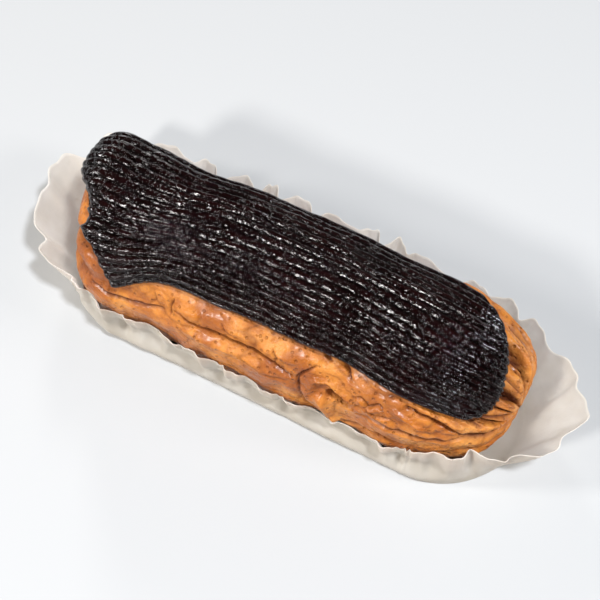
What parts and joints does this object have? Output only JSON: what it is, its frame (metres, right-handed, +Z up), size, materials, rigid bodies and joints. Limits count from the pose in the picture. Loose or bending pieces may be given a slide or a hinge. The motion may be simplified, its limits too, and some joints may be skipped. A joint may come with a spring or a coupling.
{
  "type": "chocolate eclair",
  "caption": "Finger of choux pastry with a comb-ridged ribbon of dark chocolate icing along its top, sitting in a pleated white paper case.",
  "frame": {"origin": "middle of the footprint, on the underside of the paper case", "axes": "+X along the eclair, towards the end where the pastry shows past the icing; +Y across it; +Z up"},
  "size_m": [0.1706, 0.0636, 0.0417],
  "materials": {
    "baked_choux": "golden brown baked crust with an egg-wash sheen, darker in its grooves",
    "dark_chocolate": "near-black glossy set icing with fine lengthwise comb ridges",
    "case_paper": "thin white greaseproof paper, pleated"
  },
  "bodies": {
    "root": {"choux_pastry": "baked_choux", "chocolate_icing": "dark_chocolate", "paper_case": "case_paper"}
  },
  "joints": []
}
